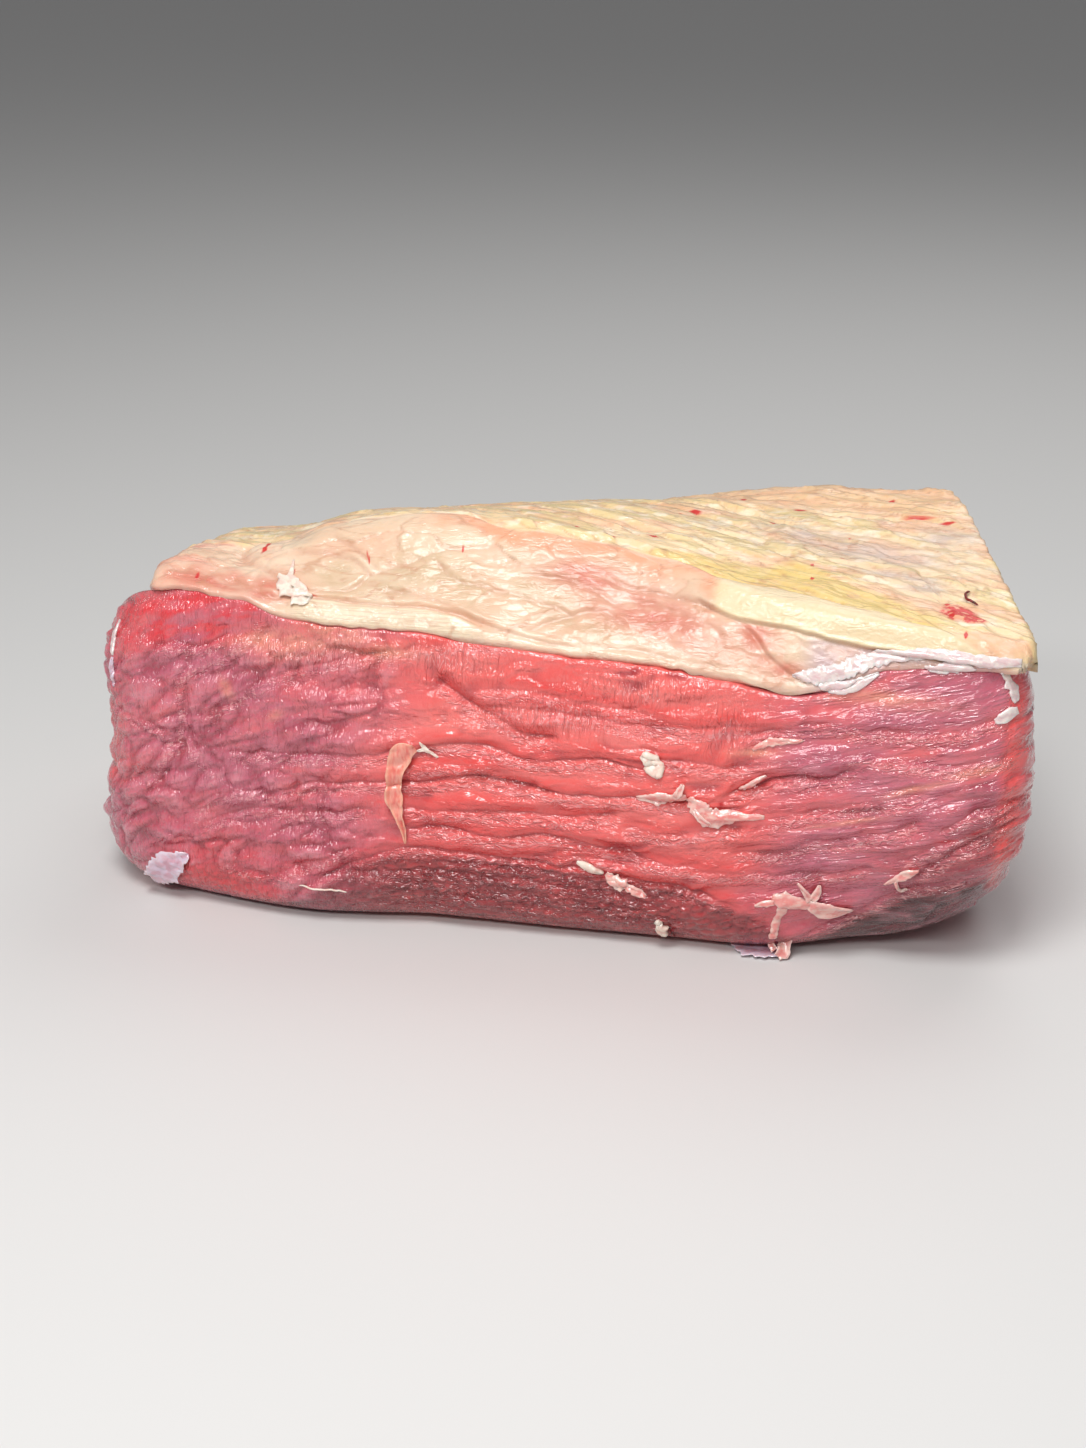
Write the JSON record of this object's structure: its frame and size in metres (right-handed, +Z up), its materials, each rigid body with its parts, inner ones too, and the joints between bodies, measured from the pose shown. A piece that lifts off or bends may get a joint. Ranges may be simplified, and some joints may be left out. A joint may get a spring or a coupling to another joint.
{
  "type": "raw beef roasting joint",
  "caption": "Raw beef roasting joint: a block of lean, folded muscle with a thick slanting cap of fat on top and shreds of skin on its front.",
  "frame": {"origin": "middle of the joint's box, on the surface that it lies on", "axes": "+Z up, +X along the joint towards its slanting cut end, -Y towards the broad face with the long muscle folds"},
  "size_m": [0.26, 0.1241, 0.1096],
  "materials": {
    "lean_meat": "wet raw beef: salmon red in the middle, mauve towards both ends, glossy",
    "fat": "raw beef fat: cream to pale yellow with pink and grey patches, greasy sheen"
  },
  "bodies": {
    "root": {"lean": "lean_meat", "fat_cap": "fat"}
  },
  "joints": []
}
